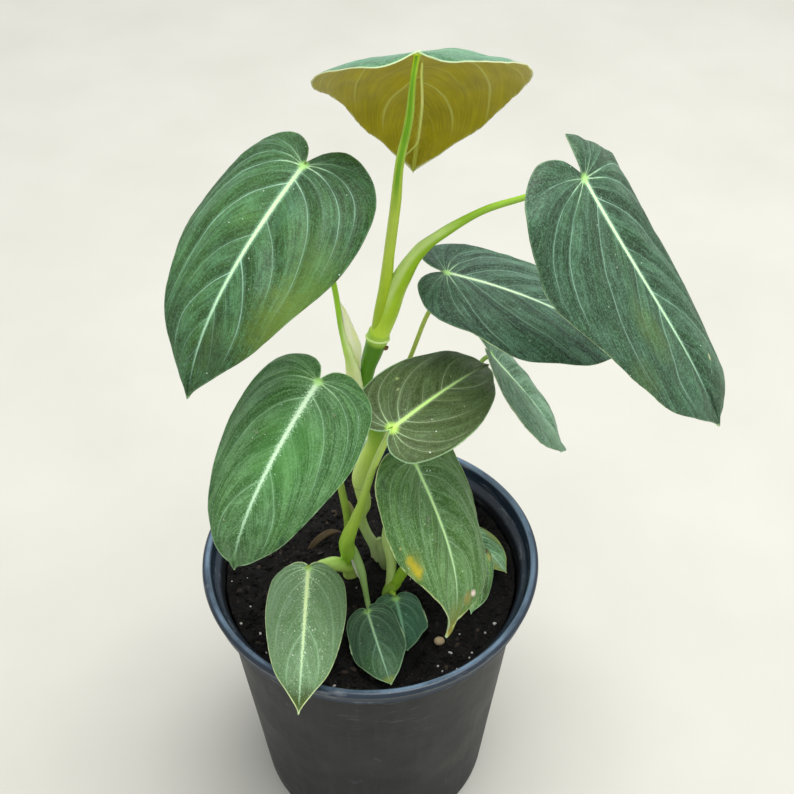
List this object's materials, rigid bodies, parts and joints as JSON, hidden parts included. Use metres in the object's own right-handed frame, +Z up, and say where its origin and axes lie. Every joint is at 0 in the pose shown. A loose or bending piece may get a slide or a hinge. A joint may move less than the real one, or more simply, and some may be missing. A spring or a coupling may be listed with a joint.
{
  "type": "potted philodendron",
  "caption": "Young philodendron gloriosum with heart-shaped velvety pale-veined leaves on long green stalks, growing in a round black nursery pot of dark soil.",
  "frame": {"origin": "centre of the pot's foot, on the surface it stands on", "axes": "+Z up along the pot's axis and the plant's height, +X to the right and +Y away from the pictured side"},
  "size_m": [0.2275, 0.172, 0.4354],
  "materials": {
    "pot_plastic": "black polypropylene, satin, lightly scuffed",
    "potting_soil": "damp dark potting mix of peat and bark fines",
    "dry_husk": "dry brown leaf sheath",
    "stem_skin": "smooth green living stem",
    "stalk_skin": "smooth bright green living stalk",
    "pale_sheath": "thin pale translucent sheath",
    "leaf_blade": "velvety deep green blade with pale veins"
  },
  "bodies": {
    "root": {"pot": "pot_plastic", "soil": "potting_soil", "dry_sheath": "dry_husk", "stem_tall": "stem_skin", "stem_left": "stem_skin", "stem_right": "stem_skin", "petiole_top": "stalk_skin", "petiole_upper_left": "stalk_skin", "petiole_upper_right": "stalk_skin", "petiole_mid_right": "stalk_skin", "petiole_back_right": "stalk_skin", "petiole_mid_left": "stalk_skin", "petiole_centre": "stalk_skin", "petiole_low_centre": "stalk_skin", "petiole_front_left": "stalk_skin", "petiole_front_small": "stalk_skin", "petiole_front_dark": "stalk_skin", "petiole_low_right": "stalk_skin", "petiole_low_back": "stalk_skin", "sheath_upper_left": "pale_sheath", "blade_top": "leaf_blade", "blade_upper_left": "leaf_blade", "blade_upper_right": "leaf_blade", "blade_mid_right": "leaf_blade", "blade_back_right": "leaf_blade", "blade_mid_left": "leaf_blade", "blade_centre": "leaf_blade", "blade_low_centre": "leaf_blade", "blade_front_left": "leaf_blade", "blade_front_small": "leaf_blade", "blade_front_dark": "leaf_blade", "blade_low_right": "leaf_blade", "blade_low_back": "leaf_blade"}
  },
  "joints": []
}
